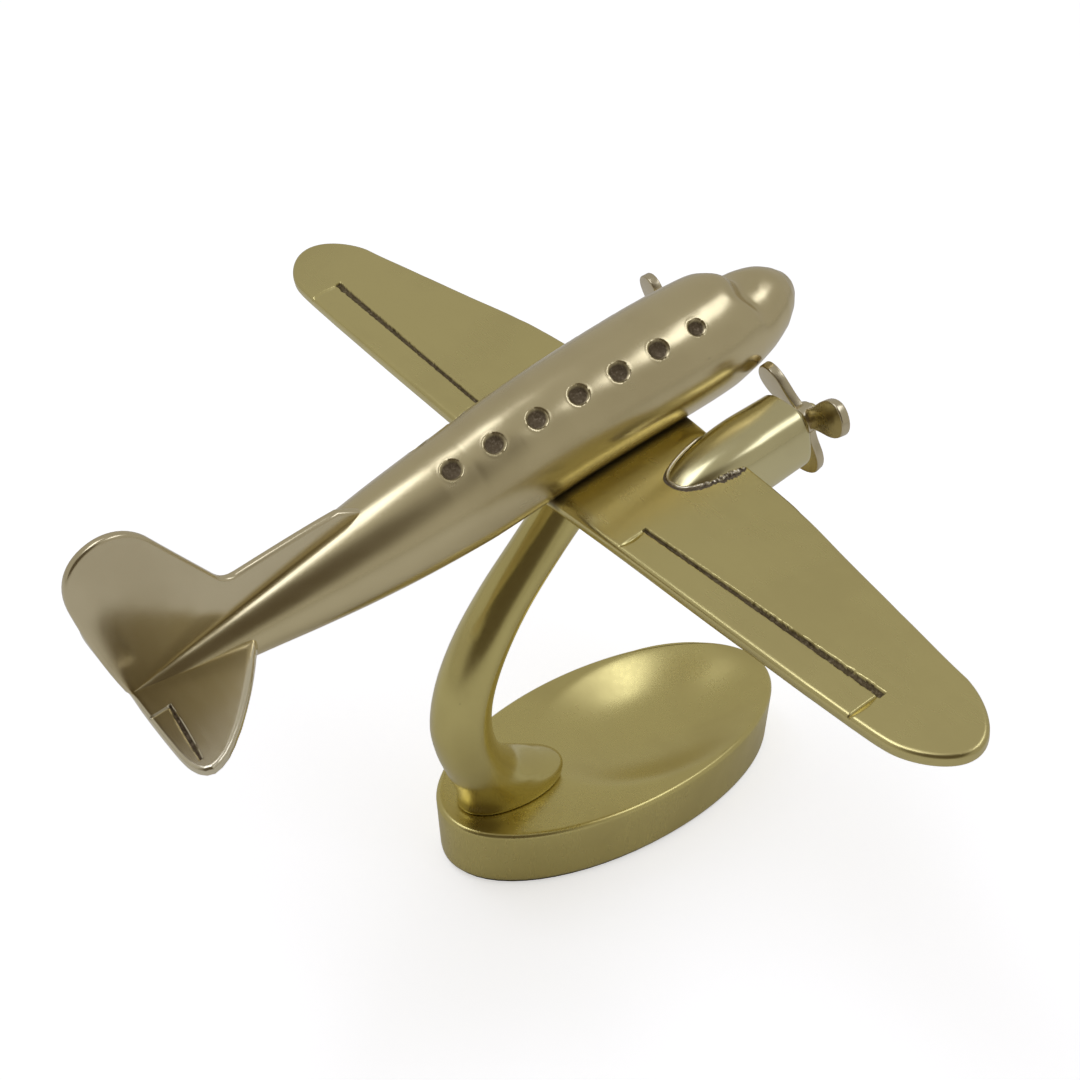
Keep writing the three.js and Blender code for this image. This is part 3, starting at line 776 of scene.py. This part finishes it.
ROUND_FROM, ROUND_ROWS = 27, 34
tail_rows = spaced([(0, 1), (7, 0.8), (12.6, 0.22), (14.6, 0.6), (26, 0.6), (ROUND_FROM, 1)])
for k in range(1, ROUND_ROWS + 1):
    turn = math.radians(90 * k / ROUND_ROWS)
    tail_rows.append(ROUND_FROM + (TAIL_REACH - ROUND_FROM) * math.sin(turn))


def elevator_x(out):
    (near, near_x), (far, far_x) = ELEVATOR
    return near_x + (far_x - near_x) * (out - near) / (far - near)


TAIL_GAPS = (0, 0.1, 0.3, 0.7, 1.3)


def tail_places(out):
    rear, front = tail_edges(out)
    chord = front - rear
    squeeze = min(1, chord / 12)
    low = [rear + gap * squeeze for gap in TAIL_GAPS]
    high = [front - gap * squeeze for gap in reversed(TAIL_GAPS)]
    line = min(max(elevator_x(out), rear + 0.2 * chord), front - 0.2 * chord)
    return places_across(low, line, 1.2 * squeeze, high, (5, 11, 14))


tail_outline = [Vector((tail_edges(out)[0], out)) for out in tail_rows]
tail_outline += [Vector((tail_edges(out)[1], out)) for out in reversed(tail_rows)]


def elevator_depth(x, out):
    """Depth of the chiselled hinge line, and of the slanted cut that closes its inner end."""
    (near, _), (far, _) = ELEVATOR
    share = (out - near) / (far - near)
    depth = 0
    if -0.02 < share < 1:
        width = 0.3 + 0.35 * math.sin(math.pi * max(share, 0)) + 0.1 * noise.noise(Vector((out, 3, 3)))
        depth = 0.8 * (1 - step(width * 0.4, width + 0.25, abs(x - elevator_x(out))))
    share = (x - ELEVATOR_REAR) / (elevator_x(near) - ELEVATOR_REAR)
    if 0 < share < 1:
        off = (out - near) / 0.8
        if -0.4 < off < 1:
            depth = max(depth, 0.5 * min((off + 0.4) / 0.2, (1 - off) / 1.1))
    return depth


def tail_sheet(side, top):
    def place(across, along):
        out = tail_rows[round(along * (len(tail_rows) - 1))]
        places = tail_places(out)
        x = places[round(across * (len(places) - 1))]
        near = nearest(TAIL_EDGE, Vector((x, out)), tail_outline)
        height = PLATE - TAIL_EDGE + math.sqrt(max(0, TAIL_EDGE**2 - (TAIL_EDGE - near) ** 2))
        height = height - elevator_depth(x, out) if top else -height
        return Vector((x, side * out, TAILPLANE_Z + height))

    return skin(len(tail_places(0)) - 1, len(tail_rows) - 1, place)


# The tailplanes' brass is painted paler than the rest of the model, as painted light for the brighter
# reflections the plates catch.
tail_brass_painted_lighter = brass(
    "tailplane brass painted lighter", "grime_and_shade", Brass=(0.8, 0.73, 0.52, 1), Dullness=0.2, Wheel_Marks=(420, 60, 200)
)
for side_name, side in (("port", 1), ("starboard", -1)):
    tail_mesh = two_faced(tail_sheet(side, True), tail_sheet(side, False))
    grime_and_shade = tail_mesh.verts.layers.float.new("grime_and_shade")
    for corner in tail_mesh.verts:
        if corner.co.z > TAILPLANE_Z and corner.co.x > elevator_x(abs(corner.co.y)) - 0.9:
            corner[grime_and_shade] = step(0.25, 0.6, elevator_depth(corner.co.x, abs(corner.co.y)))
    if side == 1:
        bmesh.ops.scale(tail_mesh, verts=tail_mesh.verts, vec=(1, PORT_SHORTER, 1))
    finish_piece(
        tail_mesh,
        f"tailplane_plate_{side_name}",
        tail_brass_painted_lighter,
        [f"tailplane_{side_name}"],
        lay=AEROPLANE,
    )

# ------------------------------------------------------------------ the engines
# Each nacelle is a rounded box of brass that sweeps down to a point on the wing. It is soldered on: the
# solder stands in a bead round the joint, rough along the outer side, over a thin line of old grime.

ENGINE_Y, ENGINE_Z = 33, -4.4
ENGINE_FRONT, ENGINE_FULL, ENGINE_TAIL = 62, 46, 9
ENGINE_RIM = 1.5
ENGINE_HALF = (11.2, 11.7)
ENGINE_POWER = 3.0
engine_stations = spaced(
    [(ENGINE_TAIL, 0.15), (9.6, 0.5), (14, 0.8), (46, 1.2), (60.4, 0.25), (ENGINE_FRONT, 1)]
)
engine_rows = len(engine_stations) + 1


def engine_size(x):
    taper = math.sqrt(max(0, 1 - (max(0, ENGINE_FULL - x) / (ENGINE_FULL - ENGINE_TAIL)) ** 2))
    rim = max(0, x - ENGINE_FRONT + ENGINE_RIM) / ENGINE_RIM
    rounding = 0.1 * (1 - math.sqrt(max(0, 1 - rim * rim)))
    return taper * (1 - 0.03 * step(44, ENGINE_FRONT, x)) * (1 - rounding)


def engine_corner(across, along):
    row = round(along * engine_rows)
    x = engine_stations[min(row, len(engine_stations) - 1)]
    size = 0 if row == engine_rows else engine_size(x)
    turn = 2 * math.pi * across
    side = size * ENGINE_HALF[0] * squared(math.cos(turn), ENGINE_POWER)
    up = size * ENGINE_HALF[1] * squared(math.sin(turn), ENGINE_POWER)
    return Vector((x, ENGINE_Y + side, ENGINE_Z + up))


def stands_proud(x, out):
    """Whether the nacelle is above the top of the wing at a point."""
    size = max(engine_size(x), 1e-6)
    across = min(1, abs(out - ENGINE_Y) / (ENGINE_HALF[0] * size))
    up = ENGINE_HALF[1] * size * (1 - across**ENGINE_POWER) ** (1 / ENGINE_POWER)
    return ENGINE_Z + up > wing_skin(x, out)


# The joint line, from the inner side of the nacelle round its point to the outer side. Each point is
# found by halving, on a ray from a point on the nacelle's middle line.
JOINT_FRONT, JOINT_STEPS = 35.8, 240
joint_line = []
for k in range(JOINT_STEPS + 1):
    turn = math.pi * (k / JOINT_STEPS - 0.5)
    inside, outside = 0, 40
    for _ in range(24):
        reach = (inside + outside) / 2
        if stands_proud(JOINT_FRONT - reach * math.cos(turn), ENGINE_Y + reach * math.sin(turn)):
            inside = reach
        else:
            outside = reach
    joint_line.append(
        Vector((JOINT_FRONT - inside * math.cos(turn), ENGINE_Y + inside * math.sin(turn), 0))
    )

nacelle_brass = brass(
    "nacelle brass", Brass=(0.69, 0.62, 0.33, 1), Dullness=0.2, Wheel_Marks=(60, 420, 420)
)
solder_brass = brass(
    "solder bead",
    "grime_and_shade",
    Brass=(0.68, 0.61, 0.43, 1),
    Dullness=0.27,
    Wheel_Marks=(300, 300, 300),
    Pitting=0.0,
)


def joint_bead(side, half_width, height, dark):
    """A bead along the joint, smooth on the inner side and round the point, rough on the outer side."""

    def place(across, along):
        row = round(along * JOINT_STEPS)
        middle = joint_line[row]
        run = (joint_line[min(row + 1, JOINT_STEPS)] - joint_line[max(row - 1, 0)]).normalized()
        outward = Vector((-run.y, run.x, 0))
        turn = 2 * math.pi * across
        rough = step(0.5, 0.72, along)
        lump = noise.noise(middle * 0.55)
        lump += 0.7 * noise.noise(Vector((middle.x * 1.7, turn, middle.y)))
        size = (1 + rough * (0.35 + 1.1 * lump)) * min(1, 0.2 + 9 * min(along, 1 - along))
        point = middle + outward * half_width * (0.75 + size * math.cos(turn))
        point.z = wing_skin(middle.x, middle.y) + height * size * math.sin(turn)
        return Vector((point.x, side * point.y, point.z))

    bm = skin(12, JOINT_STEPS, place)
    close_up(bm)
    marked = bm.verts.layers.float.new("grime_and_shade")
    for corner in bm.verts:
        pits = noise.noise(corner.co * 1.1) + 0.6 * noise.noise(corner.co * 2.7)
        rough = step(18, 24, corner.co.x) * step(ENGINE_Y, ENGINE_Y + 2, abs(corner.co.y))
        corner[marked] = dark or rough * step(0.05, 0.3, pits)
    return bm


for side_name, side in (("port", 1), ("starboard", -1)):
    nacelle_mesh = skin(72, engine_rows, engine_corner)
    bmesh.ops.scale(nacelle_mesh, verts=nacelle_mesh.verts, vec=(1, side, 1))
    casting, nacelle = f"nacelle_casting_{side_name}", f"nacelle_{side_name}"
    finish_piece(nacelle_mesh, casting, nacelle_brass, [nacelle], lay=AEROPLANE)
    bead, grime_strip = joint_bead(side, 0.6, 0.55, 0), joint_bead(side, 1.1, 0.14, 0.9)
    finish_piece(bead, f"solder_bead_{side_name}", solder_brass, lay=AEROPLANE)
    finish_piece(grime_strip, f"joint_grime_{side_name}", solder_brass, lay=AEROPLANE)

# ------------------------------------------------------------------ the propellers
# Each is a small casting of paler brass: three thick paddles with round ends, set at a slight pitch on
# a hub that turns freely on its pin.

PROPELLER_X = 68.8
BLADE_REACH, BLADE_HALF, BLADE_PITCH = 21.6, 1.6, -10
BORE = 1.85
FIRST_BLADE = {"port": 65, "starboard": 31}
propeller_brass = brass(
    "propeller brass",
    Brass=(0.63, 0.55, 0.36, 1),
    Tarnish=(0.3, 0.24, 0.15, 1),
    Dullness=0.24,
    Wheel_Marks=(300, 700, 700),
)
blade_outline = bend((1.5, -3.1), (8.6, -3.1), (10.6, -6), (15.2, -6.1), 8)
blade_outline += bend((15.2, -6.1), (19.8, -6.1), (BLADE_REACH, -3.4), (BLADE_REACH, 0), 9)
blade_outline += bend((BLADE_REACH, 0), (BLADE_REACH, 3.4), (19.8, 6.1), (15.2, 6.1), 9)
blade_outline += bend((15.2, 6.1), (10.6, 6), (8.6, 3.1), (1.5, 3.1), 8)
blade_outline += [(1.5, 0)]


def turned(bm, profile, sides=48):
    """Turns a closed profile of (radius, height) points about Z."""
    corners = [bm.verts.new((radius, 0, height)) for radius, height in profile]
    edges = [bm.edges.new((a, b)) for a, b in zip(corners, corners[1:] + corners[:1])]
    bmesh.ops.spin(
        bm,
        geom=corners + edges,
        cent=(0, 0, 0),
        axis=(0, 0, 1),
        angle=2 * math.pi,
        steps=sides,
        use_merge=True,
    )
    bmesh.ops.remove_doubles(bm, verts=bm.verts, dist=1e-4)
    bmesh.ops.delete(bm, geom=[edge for edge in bm.edges if edge.is_wire], context="EDGES")


SHAFT_WAYS = Matrix(((0, 0, 1), (1, 0, 0), (0, 1, 0))).to_4x4()  # a turned piece's Z becomes X
for side_name, side in (("port", 1), ("starboard", -1)):
    on_shaft = AEROPLANE @ Matrix.Translation((0, side * ENGINE_Y, ENGINE_Z)) @ SHAFT_WAYS
    propeller_mesh = bmesh.new()
    for k in range(3):
        blade = bmesh.new()
        rounded_plate(blade, blade_outline, round_by=0.55, half=BLADE_HALF)
        turn = Matrix.Rotation(math.radians(FIRST_BLADE[side_name] + 120 * k), 4, "Z")
        pitched = turn @ Matrix.Rotation(math.radians(BLADE_PITCH), 4, "X")
        bmesh.ops.transform(blade, matrix=pitched, verts=blade.verts)
        add_to(propeller_mesh, blade)
    turned(
        propeller_mesh,
        [(BORE, -2.8), (4.2, -2.8), (4.7, -2.5), (4.8, -2), (4.8, 2), (4.6, 2.5), (4.1, 2.8),
         (BORE, 2.8)],
    )
    finish_piece(
        propeller_mesh,
        f"propeller_casting_{side_name}",
        propeller_brass,
        [f"propeller_{side_name}"],
        body=f"propeller_{side_name}",
        lay=on_shaft @ Matrix.Translation((0, 0, PROPELLER_X)),
        crease=35,
    )

# ------------------------------------------------------------------ pins and collars
# Each propeller runs on a round-headed pin screwed into the nacelle, with a turned collar behind it
# that holds it off the casting.

pin_brass = brass(
    "pin brass",
    Brass=(0.62, 0.54, 0.27, 1),
    Dullness=0.2,
    Wheel_Marks=(1200, 200, 200),
    Waviness=0.0,
)
PIN_START, PIN_HEAD, PIN_RADIUS = 51, 71.9, 1.6
for side_name, side in (("port", 1), ("starboard", -1)):
    on_shaft = AEROPLANE @ Matrix.Translation((0, side * ENGINE_Y, ENGINE_Z)) @ SHAFT_WAYS
    pin_mesh = bmesh.new()
    profile = [(0, PIN_START), (PIN_RADIUS, PIN_START), (PIN_RADIUS, PIN_HEAD)]
    profile += [(3.2, PIN_HEAD), (3.4, PIN_HEAD + 0.2)]
    for lift in range(0, 90, 12):
        rise, reach = math.sin(math.radians(lift)), math.cos(math.radians(lift))
        profile.append((3.4 * reach, PIN_HEAD + 0.5 + 1.7 * rise))
    turned(pin_mesh, [*profile, (0, PIN_HEAD + 2.2)])
    finish_piece(
        pin_mesh,
        f"round_head_pin_{side_name}",
        pin_brass,
        [f"propeller_pin_{side_name}"],
        lay=on_shaft,
    )
    collar_mesh = bmesh.new()
    turned(
        collar_mesh,
        [(BORE, 62.2), (3.4, 62.2), (3.6, 62.4), (3.6, 65.5), (3.4, 65.7), (BORE, 65.7)],
    )
    finish_piece(
        collar_mesh,
        f"turned_collar_{side_name}",
        pin_brass,
        [f"propeller_washer_{side_name}"],
        lay=on_shaft,
    )

# ------------------------------------------------------------------ floor, light and camera
# The model stands on a plain pale sheet in a soft pale studio, with a long window of light on either
# side overhead, and one side of the studio left dark so that the brass has something to mirror.

floor_mesh = bpy.data.meshes.new("pale sheet")
sheet = bmesh.new()
bmesh.ops.create_grid(sheet, x_segments=1, y_segments=1, size=6)
sheet.to_mesh(floor_mesh)
sheet.free()
floor = bpy.data.objects.new("pale_sheet", floor_mesh)
bpy.context.collection.objects.link(floor)
paper = bpy.data.materials.new("pale paper")
paper.use_nodes = True
paper_shader = paper.node_tree.nodes["Principled BSDF"]
paper_shader.inputs["Roughness"].default_value = 0.9
paper_shader.inputs["Specular IOR Level"].default_value = 0
paper_shader.inputs["Emission Color"].default_value = (1, 1, 1, 1)
paper_shader.inputs["Base Color"].default_value = (0.95, 0.95, 0.94, 1)
glow = paper.node_tree.nodes.new("ShaderNodeMath")
glow.operation = "MULTIPLY"
glow.inputs[1].default_value = 0.55
seen = paper.node_tree.nodes.new("ShaderNodeLightPath").outputs["Is Camera Ray"]
paper.node_tree.links.new(seen, glow.inputs[0])
paper.node_tree.links.new(glow.outputs[0], paper_shader.inputs["Emission Strength"])
floor_mesh.materials.append(paper)


def towards(azimuth, elevation):
    flat = math.cos(math.radians(elevation))
    turn = math.radians(azimuth)
    return Vector((flat * math.cos(turn), flat * math.sin(turn), math.sin(math.radians(elevation))))


def soft_window(name, azimuth, elevation, size, brightness, tint):
    lamp = bpy.data.lights.new(name, "AREA")
    lamp.shape = "RECTANGLE"
    lamp.size, lamp.size_y = size
    lamp.energy = brightness * math.pi * size[0] * size[1]
    lamp.color = tint
    made = bpy.data.objects.new(name, lamp)
    made.location = Vector((0, 0, 0.15)) + 1.6 * towards(azimuth, elevation)
    made.rotation_mode = "QUATERNION"
    made.rotation_quaternion = towards(azimuth, elevation).to_track_quat("Z", "Y")
    bpy.context.collection.objects.link(made)


soft_window("window_right", -35, 61, (1.0, 0.45), 1.7, (0.94, 1, 1.28))
soft_window("window_left", 138, 66, (1.0, 0.5), 2.2, (0.94, 1, 1.28))

world = bpy.data.worlds.new("studio")
world.use_nodes = True
nodes, links = world.node_tree.nodes, world.node_tree.links
# The dark side is only mirrored: looked at directly, the backdrop is plain white all round.
way = nodes.new("ShaderNodeTexCoord").outputs["Generated"]
facing = nodes.new("ShaderNodeVectorMath")
facing.operation = "DOT_PRODUCT"
facing.inputs[1].default_value = towards(-137, 32)
links.new(way, facing.inputs[0])
dark_side = nodes.new("ShaderNodeMapRange")
dark_side.interpolation_type = "SMOOTHSTEP"
dark_side.inputs["From Min"].default_value = math.cos(math.radians(47))
dark_side.inputs["From Max"].default_value = math.cos(math.radians(30))
links.new(facing.outputs["Value"], dark_side.inputs["Value"])
dark_mirrored = nodes.new("ShaderNodeMath")
dark_mirrored.operation = "MULTIPLY"
seen = nodes.new("ShaderNodeLightPath").outputs["Is Camera Ray"]
mirrored = nodes.new("ShaderNodeMath")
mirrored.operation = "SUBTRACT"
mirrored.inputs[0].default_value = 1
links.new(seen, mirrored.inputs[1])
links.new(dark_side.outputs["Result"], dark_mirrored.inputs[0])
links.new(mirrored.outputs[0], dark_mirrored.inputs[1])
walls = nodes.new("ShaderNodeMix")
walls.data_type = "RGBA"
walls.inputs["B"].default_value = (0.11, 0.09, 0.065, 1)
links.new(dark_mirrored.outputs[0], walls.inputs["Factor"])
backdrop = nodes.new("ShaderNodeMix")
backdrop.data_type = "RGBA"
backdrop.inputs["A"].default_value = (0.46, 0.45, 0.44, 1)
backdrop.inputs["B"].default_value = (1, 1, 1, 1)
links.new(seen, backdrop.inputs["Factor"])
links.new(backdrop.outputs["Result"], walls.inputs["A"])
links.new(walls.outputs["Result"], nodes["Background"].inputs["Color"])
nodes["Background"].inputs["Strength"].default_value = 1
bpy.context.scene.world = world
bpy.context.scene.view_settings.view_transform = "Standard"

camera = bpy.data.objects.new("camera", bpy.data.cameras.new("camera"))
camera.data.sensor_width = 36
camera.data.lens = 57.48
camera.data.clip_start, camera.data.clip_end = 0.01, 20
camera.location = (-0.2885, -0.352, 0.4516)
camera.rotation_mode = "QUATERNION"
looking = Vector((-0.0116, 0.0268, 0.0998)) - camera.location
camera.rotation_quaternion = looking.to_track_quat("-Z", "Y")
bpy.context.collection.objects.link(camera)
bpy.context.scene.camera = camera
